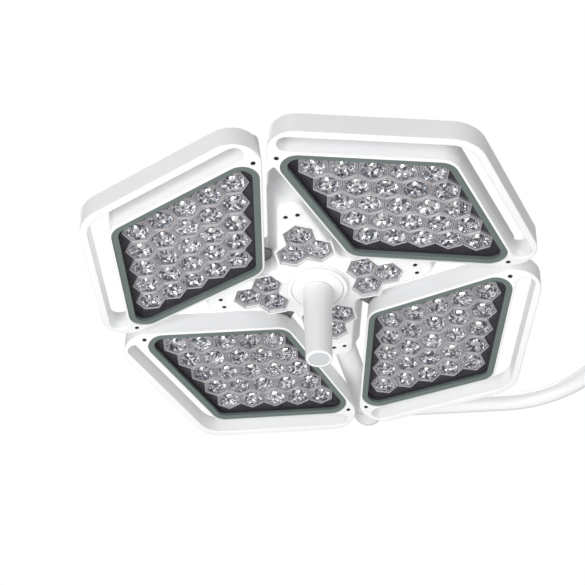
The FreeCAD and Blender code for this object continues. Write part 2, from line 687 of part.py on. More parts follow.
def prisms(name, apothem, low, high):
    """Six-sided prisms over the twelve cluster lenses, joined three by three."""
    pieces = []
    for turn, frame in enumerate(TIP_TURNS):
        for step, (x, y) in enumerate(CLUSTER):
            prism = doc.addObject("Part::Prism", f"{name}_{turn}_{step}")
            prism.Polygon = 6
            prism.setExpression("Circumradius", cell(f"({apothem}) / cos(30)"))
            prism.setExpression("Height", cell(f"{high} - ({low})"))
            prism.Placement = frame * Place(V(number(x), number(y), number(low)), Turn())
            pieces.append(prism)
    return joined(name, pieces)


def tip_cylinders(name, radius, low, high, turns=range(TIPS), pair=True):
    """Cylinders along the lamp axis at the tip screws."""
    sides = ("tip_pair / 2", "-tip_pair / 2") if pair else ("0",)
    return [cylinder(f"{name}_{turn}_{step}", TIP_TURNS[turn], radius, low, high, "tip_screw", side)
            for turn in turns for step, side in enumerate(sides)]


PANE_TOP = f"{FACE} - pane_drop"
PAD_ROUND = "(screw_head + casing_wall)"
PAD_TOP = f"{FACE} + rim_height"
pads = [block(f"tip_pad_{turn}", frame, (f"tip_screw - {PAD_ROUND}", "-tip_pair / 2", f"{FACE} - hub_plate"),
              (f"tip_screw + {PAD_ROUND}", "tip_pair / 2", PAD_TOP)) for turn, frame in enumerate(TIP_TURNS)]
pads += tip_cylinders("tip_pad_end", PAD_ROUND, f"{FACE} - hub_plate", PAD_TOP)
pillars = tip_cylinders("front_pillar", "screw_head + casing_wall / 2", "-frame_top + hole_gap", FACE)
rims = prisms("cluster_rims", f"{LENS_HALF} + pane_margin + rim_width", f"{FACE} - hub_plate", PAD_TOP)
solid_front = joined("hub_front_solid", [front, rims, *pads, *pillars])
openings = [prisms("pane_seats", f"{LENS_HALF} + pane_margin", f"{PANE_TOP} - pane_thick", "0"),
            prisms("lens_openings", f"{LENS_HALF} + fit_gap", f"{FACE} - 2 * hub_plate", "0"),
            cylinder("core_opening", lamp, "core_radius + 2 * hub_plate", f"{FACE} - 2 * hub_plate", "0"),
            cylinder("stub_notch_front", roll, "stub_radius + turn_gap", "tip_screw",
                     "tip_reach + 2 * hub_flare")]
openings += tip_cylinders("front_sink", "screw_head + fit_gap", f"{FACE} - head_height", "0")
openings += tip_cylinders("front_bore", "screw_radius + hole_gap", "-axis_depth", "0")
openings += [bracket_box(f"front_gate_{petal}", angle, "turn_gap") for petal, angle in enumerate(PETALS, 1)]
keep("hub_front_cover", cut_from("hub_front_cover", solid_front, openings))

BACK_TIPS = range(STUB_TIP)
FRAME_TOP = "-hub_face - cluster_drop - lens_depth - board_thick"
FRAME_LOW = f"({FRAME_TOP} - frame_plate)"
posts = tip_cylinders("back_post", "screw_head + casing_wall", f"{REAR} + hub_wall / 2",
                      f"{FRAME_LOW} - hole_gap", BACK_TIPS, pair=False)
POST_HEAD = f"({FRAME_LOW} - hub_screw * 3 / 4)"
back_cuts = tip_cylinders("back_sink", "screw_head + fit_gap", f"{REAR} - 1", POST_HEAD,
                          BACK_TIPS, pair=False)
back_cuts += tip_cylinders("back_bore", "screw_radius + hole_gap", f"{REAR} - 1", "0",
                           BACK_TIPS, pair=False)
back_cuts.append(cylinder("stub_notch_back", roll, "stub_radius + turn_gap", "tip_screw",
                          "tip_reach + 2 * hub_flare"))
solid_back = joined("hub_back_solid", [rear, *posts])
keep("hub_back_cover", cut_from("hub_back_cover", solid_back, back_cuts))

arms = new_body("chassis_arms", lamp)
frame_star = star("frame_half", "frame_reach", "notch_round", "frame_half / 2")
layer(arms, "chassis_star", FRAME_TOP, "frame_plate", [frame_star])
DRUM_TOP = "(-hub_face - hub_plate - 2 * hub_wall - cluster_drop)"
drum = cylinder("chassis_drum", lamp, "chassis_radius", "-chassis_back", DRUM_TOP)
tip_blocks = [block(f"chassis_pad_{turn}", frame,
                    ("tip_screw - tip_pair / 2", "-tip_pair * 7 / 8", FRAME_LOW),
                    ("tip_screw + tip_pair / 2", "tip_pair * 7 / 8", "-frame_top"))
              for turn, frame in enumerate(TIP_TURNS)]
socket = cylinder("chassis_socket", roll, "stub_radius + socket_wall",
                  "stub_start - socket_wall", "socket_end")
spine = block("chassis_spine", TIP_TURNS[STUB_TIP], ("chassis_radius / 2", "-stub_radius", "-chassis_back"),
              ("stub_start + socket_wall", "stub_radius", FRAME_LOW))
chassis = joined("chassis_solid", [arms, drum, socket, spine, *tip_blocks])
chassis_cuts = [cylinder("core_bore", lamp, "core_radius + run_gap", "-chassis_back - 1", "0"),
                cylinder("stub_bore_cut", roll, "stub_radius + run_gap", "stub_start - run_gap",
                         "socket_end + tip_pair")]
chassis_cuts += tip_cylinders("chassis_bore", "screw_radius + hole_gap",
                              f"{FACE} - hub_screw - 3 * head_height", "0")
chassis_cuts += tip_cylinders("chassis_rear", "screw_radius + hole_gap", f"{FRAME_LOW} - 1",
                              f"{FRAME_LOW} + hub_screw / 2", BACK_TIPS, pair=False)
for petal, petal_angle in enumerate(PETALS, 1):
    chassis_cuts.append(bracket_box(f"chassis_gate_{petal}", petal_angle, "run_gap"))
    for side, spot in enumerate(bolt_places(petal_angle)):
        depth = f"{DRUM_TOP} - hub_screw - 2 * hole_gap"
        bolt = cylinder(f"chassis_bolt_{petal}_{side}", spot, "screw_radius + hole_gap", depth, "0")
        chassis_cuts.append(bolt)
keep("hub_chassis", cut_from("hub_chassis", chassis, chassis_cuts))

board = new_body("hub_led_board", lamp)
board_star = star("frame_half", "board_reach", "notch_round", "frame_half / 2")
layer(board, "hub_board_star", f"{FRAME_TOP} + board_thick", "board_thick", [board_star])
holes(board, "hub_board_hole", f"{FRAME_TOP} + board_thick", "board_thick", (("0", "0"),),
      "chassis_radius + turn_gap")
dots = new_sketch(board, "hub_board_leds", f"{FRAME_TOP} + board_thick")
led_centres = []
for quarter_turns in range(TIPS):
    for led_x, led_y in CLUSTER:
        for _ in range(quarter_turns):
            led_x, led_y = ("0" if led_y == "0" else f"-({led_y})"), led_x
        led_centres.append((led_x, led_y))
circles(dots, led_centres, "led_radius")
grow(board, dots, "led_height")
keep("hub_led_board", board)

pane_shape = prisms("cluster_windows", f"{LENS_HALF} + pane_margin - fit_gap",
                    f"{PANE_TOP} - pane_thick", PANE_TOP)
keep("cluster_windows", pane_shape)
cluster_shape = lens_shape(0)
cluster_group = doc.addObject("Part::Feature", "cluster_lenses")
cluster_solids = []
for quarter_turns in range(TIPS):
    for lens_x, lens_y in CLUSTER:
        lens_spot = V(number(lens_x), number(lens_y), -number("hub_face + cluster_drop"))
        cluster_lens = cluster_shape.translated(lens_spot)
        cluster_lens.rotate(V(), V(0, 0, 1), 90 * quarter_turns)
        cluster_solids.append(cluster_lens)
cluster_group.Shape = Part.makeCompound(cluster_solids)
cluster_group.Placement = lamp
keep("cluster_lenses", cluster_group)

hub_places = []
for tip, tip_frame in enumerate(TIP_TURNS):
    for hand in (-1, 1):
        front_spot = V(number("tip_screw"), hand * number("tip_pair / 2"), -number("hub_face + head_height"))
        hub_places.append(tip_frame * Place(front_spot, Turn()))
    if tip in BACK_TIPS:
        back_spot = V(number("tip_screw"), 0, number(POST_HEAD))
        hub_places.append(tip_frame * Place(back_spot, Turn(V(1, 0, 0), 180)))
for petal_angle in PETALS:
    hub_places += [spot * Place(V(0, 0, number(DRUM_TOP)), Turn()) for spot in bolt_places(petal_angle)]
screws("hub_screws", number("hub_screw"), hub_places)

# ---- Handle: a ring on the hub, the focus core that turns in it, and the grip that pulls off ---
STEP = f"({FACE} + ring_height)"
LIP = f"({STEP} - lip_thick)"
turned("handle_ring", lamp, (
    ("ring_radius", FACE), ("ring_radius", f"{FACE} + ring_base", "ring_base / 3"),
    ("ring_step", f"{FACE} + ring_base"), ("ring_step", STEP, "ring_base / 2"),
    ("ring_lip", STEP), ("ring_lip", LIP),
    ("focus_flange + turn_gap", LIP), ("focus_flange + turn_gap", FACE)))
BOSS = f"({STEP} + turn_gap)"
GROOVE = "core_radius - groove_depth"
turned("handle_core", lamp, (
    ("0", "-core_back"), ("core_radius", "-core_back"), ("core_radius", f"{FACE} + turn_gap"),
    ("focus_flange", f"{FACE} + turn_gap"), ("focus_flange", f"{LIP} - turn_gap"),
    ("ring_lip - turn_gap", f"{LIP} - turn_gap"), ("ring_lip - turn_gap", BOSS, "turn_gap * 3"),
    ("core_radius", BOSS), ("core_radius", "detent_height"), (GROOVE, "detent_height"),
    (GROOVE, "detent_height + detent_width"), ("core_radius", "detent_height + detent_width"),
    ("core_radius", "core_top", "groove_depth"), ("0", "core_top")))
turned("detent_ring", lamp,
       tube_profile(GROOVE, "core_radius", "detent_height", "detent_height + detent_width"))
SLEEVE_LOW = f"({BOSS} + turn_gap)"
BORE = "core_radius + 2 * run_gap"
turned("handle_sleeve", lamp, (
    (BORE, SLEEVE_LOW), ("sleeve_base", SLEEVE_LOW, "groove_depth"),
    ("sleeve_tip", "sleeve_end", "groove_depth"), ("cap_radius", "sleeve_end"),
    ("cap_radius", "sleeve_end - cap_depth"), ("0", "sleeve_end - cap_depth"),
    ("0", "sleeve_end - sleeve_roof"), (BORE, "sleeve_end - sleeve_roof")))
CAP_TOP = "(sleeve_end - turn_gap)"
turned("handle_end_cap", lamp, (
    ("0", "sleeve_end - cap_depth"), ("cap_radius - run_gap", "sleeve_end - cap_depth"),
    ("cap_radius - run_gap", CAP_TOP, "turn_gap"), ("0", CAP_TOP)))

# ---- Roll pivot: the stub turns with the head on the elbow's pin ------------------------------
SEAM_LOW = "(seam_reach - seam_gap / 2)"
SEAM_HIGH = "(seam_reach + seam_gap / 2)"
turned("stub_tube", roll, (
    ("stub_bore", "stub_start"), ("stub_radius", "stub_start"),
    ("stub_radius", "seam_reach - collar_length", "stub_radius"),
    ("collar_radius", "seam_reach - collar_length / 2", "stub_radius"),
    ("collar_radius", SEAM_LOW), ("stub_bore", SEAM_LOW)))


def bush(name, frame, face):
    """A flangeless bush pressed round a pivot pin, just behind the seam."""
    end = f"{face} - turn_gap" if frame is roll else f"{face} + bush_length + turn_gap"
    start = f"({end}) - bush_length"
    return turned(name, frame, tube_profile("pivot_radius + run_gap", "stub_bore", start, end))


bush("roll_bush", roll, SEAM_LOW)
turned("yoke_elbow", roll, (
    ("0", "seam_reach - pivot_length"), ("pivot_radius", "seam_reach - pivot_length"),
    ("pivot_radius", SEAM_HIGH), ("knuckle_radius", SEAM_HIGH, "turn_gap"),
    ("knuckle_radius", "seam_reach + knuckle_length", "knuckle_radius - turn_gap"),
    ("0", "seam_reach + knuckle_length")))

# ---- Yoke tube: a straight run and a quarter bend up to the pitch axis ------------------------
tube = new_body("yoke_tube", lamp * Place(V(0, -number("yoke_start"), -number("axis_depth")),
                                          Turn(V(0, 0, 1), -number("yoke_slope"))))
leg = "(yoke_run / cos(yoke_slope))"
path = new_sketch(tube, "yoke_path")
run_end = V(number(leg), 0, 0)
bend = number("yoke_bend")
middle = run_end + V(0, bend, 0)
sweep = math.radians(90 + number("yoke_slope"))
bend_end = middle + V(bend * math.sin(sweep), -bend * math.cos(sweep), 0)
drop_length = number(f"yoke_start + {leg} * sin(yoke_slope) - yoke_bend * cos(yoke_slope)")
rise = V(math.cos(sweep), math.sin(sweep), 0) * drop_length
path.addGeometry(Part.LineSegment(V(), run_end))
path.addGeometry(Part.ArcOfCircle(Part.Circle(middle, V(0, 0, 1), bend), -math.pi / 2, sweep - math.pi / 2))
path.addGeometry(Part.LineSegment(bend_end, bend_end + rise))
constrain(path, [
    (Sketcher.Constraint("Coincident", 0, 1, -1, 1), None),
    (Sketcher.Constraint("Horizontal", 0), None),
    (Sketcher.Constraint("DistanceX", 0, 1, 0, 2, number(leg)), leg),
    (Sketcher.Constraint("Tangent", 0, 2, 1, 1), None),
    (Sketcher.Constraint("Radius", 1, bend), "yoke_bend"),
    (Sketcher.Constraint("Tangent", 1, 2, 2, 1), None),
    (Sketcher.Constraint("Angle", 2, sweep), "(90 + yoke_slope) * 1 deg"),
    (Sketcher.Constraint("Distance", 2, drop_length),
     f"yoke_start + {leg} * sin(yoke_slope) - yoke_bend * cos(yoke_slope)")])
section = new_sketch(tube, "yoke_section", plane="YZ_Plane")
circles(section, (("0", "0"),), "yoke_radius")
circles(section, (("0", "0"),), "yoke_radius - yoke_wall")
doc.recompute()
pipe = tube.newObject("PartDesign::AdditivePipe", "yoke_pipe")
pipe.Profile = section
pipe.Spine = (path, ["Edge1", "Edge2", "Edge3"])
doc.recompute()

# ---- Pitch pivot: the yoke's end casting turns in the swivel housing --------------------------
turned("yoke_end", pitch, (
    ("0", "-end_half"), ("knuckle_radius", "-end_half", "knuckle_radius / 2"),
    ("knuckle_radius", "end_half", "turn_gap"),
    ("pivot_radius", "end_half"), ("pivot_radius", "end_half + pivot_length"),
    ("0", "end_half + pivot_length")))
keep("yoke_tube", cut_from("yoke_tube", tube, [nodes["yoke_elbow"], nodes["yoke_end"]]))
BOSS_FACE = "(end_half + turn_gap)"
bush("pitch_bush", pitch, BOSS_FACE)
nut_shape = Part.makeCylinder(number("nut_radius"), number("nut_length"))
nut_shape = nut_shape.cut(Part.makeCylinder(number("pivot_radius"), number("nut_length")))
nuts = doc.addObject("Part::Feature", "pivot_nuts")
nut_solids = []
for axis, nut_start in ((roll, "seam_reach - pivot_length + 2 * turn_gap"),
                        (pitch, "end_half + pivot_length - nut_length - 2 * turn_gap")):
    nut = nut_shape.copy()
    nut.Placement = axis * Place(V(0, 0, number(nut_start)), Turn())
    nut_solids.append(nut)
nuts.Shape = Part.makeCompound(nut_solids)
nuts.Placement = world
keep("pivot_nuts", nuts)

# ---- Swivel housing and arm spindle -----------------------------------------------------------
TOP = "(-shoulder_thick - turn_gap)"
FOOT = "(-swivel_drop - housing_foot)"
WELL = f"({TOP} - bearing_length)"
upright = new_body("housing_upright", world)
post = new_sketch(upright, "housing_post", plane="XZ_Plane")
outline(post, (("journal_radius + run_gap", TOP), ("housing_radius", TOP, "housing_edge / 2"),
               ("housing_radius", FOOT, "housing_edge"), ("well_radius", FOOT), ("well_radius", WELL),
               ("journal_radius + run_gap", WELL)))
spin_post = upright.newObject("PartDesign::Revolution", "housing_post_turn")
spin_post.Profile = post
spin_post.ReferenceAxis = (post, ["V_Axis"])
boss = cylinder("housing_boss", pitch, "knuckle_radius", BOSS_FACE, "swivel_arm")
bearing_room = cylinder("boss_bore", pitch, "stub_bore", BOSS_FACE, "end_half + pivot_length + 2 * turn_gap")
journal_room = cylinder("well_room", world, "well_radius", FOOT, WELL)
bored_boss = cut_from("bored_boss", boss, [bearing_room, journal_room])
post_bore = cylinder("post_bore", pitch, "stub_bore", BOSS_FACE, "end_half + pivot_length + 2 * turn_gap")
bored_post = cut_from("bored_post", upright, [post_bore])
keep("swivel_housing", joined("swivel_housing", [bored_post, bored_boss]))
turned("swivel_cap", world, (
    ("0", FOOT), ("well_radius", FOOT),
    ("well_radius", f"{FOOT} + shoulder_thick"), ("0", f"{FOOT} + shoulder_thick")))
CLIP_HIGH = f"({WELL} - turn_gap)"
CLIP_LOW = f"({CLIP_HIGH} - clip_thick)"
JOURNAL_GROOVE = "journal_radius - groove_depth"
turned("arm_spindle", world, (
    ("0", "-shoulder_thick - journal_length"), ("journal_radius", "-shoulder_thick - journal_length"),
    ("journal_radius", CLIP_LOW), (JOURNAL_GROOVE, CLIP_LOW), (JOURNAL_GROOVE, CLIP_HIGH),
    ("journal_radius", CLIP_HIGH), ("journal_radius", "-shoulder_thick"),
    ("shoulder_radius", "-shoulder_thick", "groove_depth"), ("shoulder_radius", "0", "groove_depth"),
    ("spindle_radius", "0"), ("spindle_radius", "spindle_length", "groove_depth"), ("0", "spindle_length")))
turned("spindle_clip", world, tube_profile(JOURNAL_GROOVE, "clip_radius", CLIP_LOW, CLIP_HIGH))

# ---- Check every object, then write one STEP file for each node -------------------------------
doc.recompute()
for each in doc.Objects:
    if {"Invalid", "Error"} & set(each.State):
        raise RuntimeError(f"{each.Name}: {each.State}")
for title, piece in nodes.items():
    if piece.Shape.isNull() or not piece.Shape.isValid() or not piece.Shape.Solids:
        raise RuntimeError(f"{title} has no sound solid")
os.makedirs("parts", exist_ok=True)
for title, piece in nodes.items():
    piece.Shape.exportStep(f"parts/{title}.step")
print(len(nodes), "nodes written")
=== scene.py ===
import math

import bmesh
import bpy
from mathutils import Matrix, Vector


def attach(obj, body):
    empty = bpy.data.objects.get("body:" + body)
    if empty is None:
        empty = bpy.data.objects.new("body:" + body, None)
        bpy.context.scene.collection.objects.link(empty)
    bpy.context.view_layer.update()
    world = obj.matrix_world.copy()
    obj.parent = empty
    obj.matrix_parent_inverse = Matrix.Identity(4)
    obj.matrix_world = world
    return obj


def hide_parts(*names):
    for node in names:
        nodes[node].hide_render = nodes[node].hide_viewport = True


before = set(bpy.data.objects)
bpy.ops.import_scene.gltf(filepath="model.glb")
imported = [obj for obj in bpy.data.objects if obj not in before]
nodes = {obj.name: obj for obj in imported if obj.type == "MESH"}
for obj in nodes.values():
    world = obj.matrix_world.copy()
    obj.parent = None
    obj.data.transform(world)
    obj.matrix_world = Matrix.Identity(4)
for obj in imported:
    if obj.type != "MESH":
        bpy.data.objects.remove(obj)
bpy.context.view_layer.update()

# ---- Camera -----------------------------------------------------------------------------------
# The lamp hangs level. The camera stands below its edge, on the side away from the elbow, and
# looks up. The lamp frame has its origin on the lamp axis amid the lens faces, +Z towards the
# patient.
LAMP_ORIGIN = Vector((-0.51135, 0, -0.154))
LAMP = Matrix.Translation(LAMP_ORIGIN) @ Matrix.Rotation(math.pi, 4, "X")
EYE = Vector((0.2125, 0.927, 0.8498))
EYE_AXES = ((0.96603, 0.25845, 0.00041), (0.17280, -0.64708, 0.74258),
            (0.19218, -0.71728, -0.66975))
FOCAL_LENGTH = 56.74
SENSOR_WIDTH = 36

camera_data = bpy.data.cameras.new("camera")
camera_data.lens = FOCAL_LENGTH
camera_data.sensor_width = SENSOR_WIDTH
camera = bpy.data.objects.new("camera", camera_data)
bpy.context.collection.objects.link(camera)
camera.matrix_world = Matrix.Translation(LAMP @ EYE) @ Matrix(EYE_AXES).transposed().to_4x4()
bpy.context.scene.camera = camera

# ---- Studio: a pale floor and soft light ------------------------------------------------------
# A large matt floor lies under the hanging lamp. Broad panels light it from below, from behind
# and from the ceiling. The room is an even white, with one dark stretch of wall for the lenses to
# mirror. Panels are named by title, place in the lamp frame, size and power.
FLOOR_LEVEL = -2.4
FLOOR_SIZE = 16
PANELS = (("key", (-0.6, 1.3, 1.6), 1.3, 38), ("fill", (1.5, 1.1, 1.2), 0.7, 9),
          ("back", (-0.8, -0.6, -1.7), 1.6, 8), ("ceiling", (0, 0, -6), 3, 240))
ROOM_LIGHT = 0.34
DARK_WALL = (-0.17, -0.985, 0.0)
DARK_FROM = 0.88
DARK_TO = 0.96

bpy.context.scene.view_settings.view_transform = "Standard"
room = bpy.data.worlds.new("room")
bpy.context.scene.world = room
room.use_nodes = True
room_tree = room.node_tree
room_tree.nodes.clear()
# what the camera sees behind the lamp is plain white
seen = room_tree.nodes.new("ShaderNodeBackground")
seen.inputs["Color"].default_value = (1, 1, 1, 1)
# what lights the lamp is dimmer, and dark towards one wall
lit = room_tree.nodes.new("ShaderNodeBackground")
lit.inputs["Strength"].default_value = ROOM_LIGHT
compass = room_tree.nodes.new("ShaderNodeTexCoord")
towards_wall = room_tree.nodes.new("ShaderNodeVectorMath")
towards_wall.operation = "DOT_PRODUCT"
towards_wall.inputs[1].default_value = DARK_WALL
walls = room_tree.nodes.new("ShaderNodeValToRGB")
walls.color_ramp.elements[0].position = DARK_FROM
walls.color_ramp.elements[0].color = (1, 1, 1, 1)
walls.color_ramp.elements[1].position = DARK_TO
walls.color_ramp.elements[1].color = (0.05, 0.06, 0.08, 1)
room_tree.links.new(compass.outputs["Generated"], towards_wall.inputs[0])
room_tree.links.new(towards_wall.outputs["Value"], walls.inputs[0])
room_tree.links.new(walls.outputs[0], lit.inputs["Color"])
ray = room_tree.nodes.new("ShaderNodeLightPath")
either = room_tree.nodes.new("ShaderNodeMixShader")
sky = room_tree.nodes.new("ShaderNodeOutputWorld")
room_tree.links.new(ray.outputs["Is Camera Ray"], either.inputs[0])
room_tree.links.new(lit.outputs[0], either.inputs[1])
room_tree.links.new(seen.outputs[0], either.inputs[2])
room_tree.links.new(either.outputs[0], sky.inputs[0])

for title, place, size, watts in PANELS:
    panel_data = bpy.data.lights.new(title, "AREA")
    panel_data.size = size
    panel_data.energy = watts
    panel = bpy.data.objects.new(title, panel_data)
    bpy.context.collection.objects.link(panel)
    panel.location = LAMP @ Vector(place)
    panel.rotation_euler = (LAMP_ORIGIN - panel.location).to_track_quat("-Z", "Y").to_euler()


class Wire:
    """An output in a material's node tree. Sums on it add Math nodes."""

    def __init__(self, tree, socket):
        self.tree = tree
        self.socket = socket

    def plug(self, socket, value):
        """Feed a socket with a wire or a plain value."""
        if isinstance(value, Wire):
            self.tree.links.new(value.socket, socket)
        else:
            socket.default_value = value

    def node(self, kind, settings, values, output=0):
        """Add a node: its settings first, then the values or links of its sockets."""
        made = self.tree.nodes.new("ShaderNode" + kind)
        for key, value in settings.items():
            if key == "stops":
                ramp = made.color_ramp
                while len(ramp.elements) < len(value):
                    ramp.elements.new(0.5)
                for element, (position, colour) in zip(ramp.elements, value):
                    element.position = position
                    element.color = (*colour, 1)
            else:
                setattr(made, key, value)
        for key, value in values.items():
            self.plug(made.inputs[key], value)
        return Wire(self.tree, made.outputs[output])

    def sum(self, operation, first, second):
        return self.node("Math", {"operation": operation}, {0: first, 1: second})

    def __add__(self, other):
        return self.sum("ADD", self, other)

    def __radd__(self, other):
        return self.sum("ADD", other, self)

    def __sub__(self, other):
        return self.sum("SUBTRACT", self, other)

    def __rsub__(self, other):
        return self.sum("SUBTRACT", other, self)

    def __mul__(self, other):
        return self.sum("MULTIPLY", self, other)

    def __rmul__(self, other):
        return self.sum("MULTIPLY", other, self)

    def noise(self, scale, detail=3):
        """Soft grey noise on this wire's coordinates, in cycles per metre."""
        return self.node("TexNoise", {}, {"Vector": self, "Scale": scale, "Detail": detail})

    def between(self, low, high):
        """A colour that runs from low to high as this wire runs from 0 to 1."""
        return self.node("Mix", {"data_type": "RGBA"}, {0: self, 6: (*low, 1), 7: (*high, 1)}, output=2)

    def bump(self, strength, depth):
        """A surface normal raised by this wire."""
        return self.node("Bump", {}, {"Strength": strength, "Distance": depth, "Height": self})


def paint(name, **constants):
    """A new material: returns it, its shader and a wire of object coordinates."""
    material = bpy.data.materials.new(name)
    material.use_nodes = True
    tree = material.node_tree
    shader = tree.nodes["Principled BSDF"]
    for key, value in constants.items():
        shader.inputs[key.replace("_", " ")].default_value = value
    place = Wire(tree, tree.nodes.new("ShaderNodeTexCoord").outputs["Object"])
    return material, shader, place


def clothe(material, *names):
    """Give CAD nodes a material."""
    for name in names:
        slots = nodes[name].data.materials
        if slots:
            slots[0] = material
        else:
            slots.append(material)


floor_mesh = bmesh.new()
bmesh.ops.create_grid(floor_mesh, x_segments=1, y_segments=1, size=FLOOR_SIZE / 2)
bmesh.ops.translate(floor_mesh, verts=floor_mesh.verts, vec=(LAMP_ORIGIN.x, 0, FLOOR_LEVEL))
floor_data = bpy.data.meshes.new("floor")
floor_mesh.to_mesh(floor_data)
floor_mesh.free()
floor = bpy.data.objects.new("floor", floor_data)
bpy.context.collection.objects.link(floor)
floor_paint, floor_shader, floor_place = paint("floor_paint", Roughness=0.8)
floor_shade = floor_place.noise(3).between((0.84, 0.84, 0.83), (0.88, 0.88, 0.88))
floor_place.plug(floor_shader.inputs["Base Color"], floor_shade)
floor_data.materials.append(floor_paint)

# ---- White mouldings: petal casings, back covers, hub covers and handle ring ------------------
# Injection-moulded white plastic, semi-gloss, with the faint ripple that a steel mould leaves.
# The casings and their handle loops are one moulding, screwed to the back covers.
PETALS = range(1, 5)

shell, shell_shader, shell_place = paint("shell_white", Coat_Weight=0.25, Coat_Roughness=0.12)
shell_tone = shell_place.noise(9, 2).between((0.79, 0.795, 0.805), (0.84, 0.845, 0.85))
shell_place.plug(shell_shader.inputs["Base Color"], shell_tone)
shell_place.plug(shell_shader.inputs["Roughness"], shell_place.noise(60) * 0.14 + 0.27)
shell_skin = shell_place.noise(1500, 2) * 0.4 + shell_place.noise(35, 1)
shell_place.plug(shell_shader.inputs["Normal"], shell_skin.bump(0.12, 0.0004))
clothe(shell, "hub_front_cover", "hub_back_cover", "handle_ring", "swivel_cap")
for petal in PETALS:
    clothe(shell, f"petal_casing_{petal}", f"petal_cover_{petal}")

# ---- Bezels: grey-green rings round the windows -----------------------------------------------
# Moulded in a tinted plastic with an eggshell skin, and pressed in over the window's edge.
bezel, bezel_shader, bezel_place = paint("bezel_grey", Coat_Weight=0.15, Coat_Roughness=0.3)
bezel_tone = bezel_place.noise(25, 4).between((0.100, 0.130, 0.124), (0.135, 0.168, 0.160))
bezel_place.plug(bezel_shader.inputs["Base Color"], bezel_tone)
bezel_place.plug(bezel_shader.inputs["Roughness"], bezel_place.noise(140) * 0.2 + 0.34)
bezel_place.plug(bezel_shader.inputs["Normal"], bezel_place.noise(2600, 2).bump(0.25, 0.0003))
clothe(bezel, *(f"petal_bezel_{petal}" for petal in PETALS))

# ---- Windows: clear polished sheets over the lenses -------------------------------------------
# Clear acrylic sheet. The bezels hold it down on the petals, and glue holds it in the hub's three-lens
# openings.
pane, pane_shader, pane_place = paint("clear_pane", Specular_IOR_Level=0.9)
pane_shader.inputs["Base Color"].default_value = (0.03, 0.03, 0.035, 1)
pane_smear = pane_place.noise(14, 4)
pane_place.plug(pane_shader.inputs["Roughness"], pane_smear * 0.06 + 0.02)
pane_place.plug(pane_shader.inputs["Alpha"], pane_smear * 0.05 + 0.05)
clothe(pane, "cluster_windows", *(f"petal_window_{petal}" for petal in PETALS))

# ---- Trays, boards and heat sinks: the layers behind the lenses -------------------------------
# Matt blue-black trays hold the lenses over circuit boards with a white mask. Finned aluminium
# sinks and the hub's cast chassis lie behind the boards.
tray, tray_shader, tray_place = paint("tray_dark", Coat_Weight=0.1)
tray_tone = tray_place.noise(70, 5).between((0.030, 0.029, 0.038), (0.075, 0.066, 0.078))
tray_place.plug(tray_shader.inputs["Base Color"], tray_tone)
tray_place.plug(tray_shader.inputs["Roughness"], tray_place.noise(220) * 0.25 + 0.4)
tray_place.plug(tray_shader.inputs["Normal"], tray_place.noise(3000, 2).bump(0.3, 0.0003))
clothe(tray, *(f"petal_tray_{petal}" for petal in PETALS))

board, board_shader, board_place = paint("board_mask", Coat_Weight=0.4)
tracks = board_place.node("TexBrick", {"offset": 0.3}, {
    "Vector": board_place, "Color1": (0.70, 0.71, 0.68, 1), "Color2": (0.64, 0.65, 0.62, 1),
    "Mortar": (0.50, 0.46, 0.36, 1), "Scale": 60.0, "Mortar Size": 0.04})
board_place.plug(board_shader.inputs["Base Color"], tracks)
board_place.plug(board_shader.inputs["Roughness"], board_place.noise(300) * 0.1 + 0.35)
clothe(board, "hub_led_board", *(f"petal_board_{petal}" for petal in PETALS))

metal, metal_shader, metal_place = paint("plain_aluminium", Metallic=1.0)
metal_tone = metal_place.noise(40, 4).between((0.58, 0.59, 0.60), (0.70, 0.71, 0.72))
metal_place.plug(metal_shader.inputs["Base Color"], metal_tone)
metal_place.plug(metal_shader.inputs["Roughness"], metal_place.noise(500) * 0.2 + 0.35)
metal_place.plug(metal_shader.inputs["Normal"], metal_place.noise(900).bump(0.2, 0.0003))
clothe(metal, "hub_chassis", *(f"petal_sink_{petal}" for petal in PETALS))

# ---- Lenses: moulded clear collimators, one over each diode -----------------------------------
# Each is a hexagon with a raised rim, a thin plate out to the corners, a steep faceted bowl and a
# low dome over the diode. The facets throw the diode's light forward by reflection.
LENS_ROWS = 5
LENS_PITCH = 0.036
LENS_APOTHEM = 0.0176
LENS_SIDES = 6
SPOKES = 12
PETAL_ANGLES = (45, 135, 225, 315)
PETAL_RING = 0.1958
PETAL_TILT = math.radians(8.39)
CLUSTER_LEVEL = -0.0225
CLUSTER_INNER = 0.068
CLUSTER_OUTER = CLUSTER_INNER + LENS_PITCH * math.cos(math.pi / LENS_SIDES)
CLUSTER_SPOTS = ((CLUSTER_OUTER, 0), (CLUSTER_INNER, LENS_PITCH / 2), (CLUSTER_INNER, -LENS_PITCH / 2))
RIM, PLATE, BOWL, DOME = range(4)
# share of the apothem, height, hexagonal or round, twist in half facets, finish of the band inside it
LENS_PROFILE = (
    (1.000, -0.0075, True, 0, RIM), (1.000, -0.0006, True, 0, RIM), (0.975, 0.0, True, 0, RIM),
    (0.950, -0.0001, True, 0, RIM), (0.935, -0.0011, True, 0, PLATE), (0.895, -0.0014, False, 0, RIM),
    (0.870, -0.0008, False, 0, BOWL), (0.790, -0.0052, False, 1, BOWL), (0.660, -0.0092, False, 0, DOME),
    (0.500, -0.0086, False, 1, DOME), (0.420, -0.0058, False, 0, DOME), (0.280, -0.0036, False, 1, DOME),
    (0.120, -0.0030, False, 0, DOME))


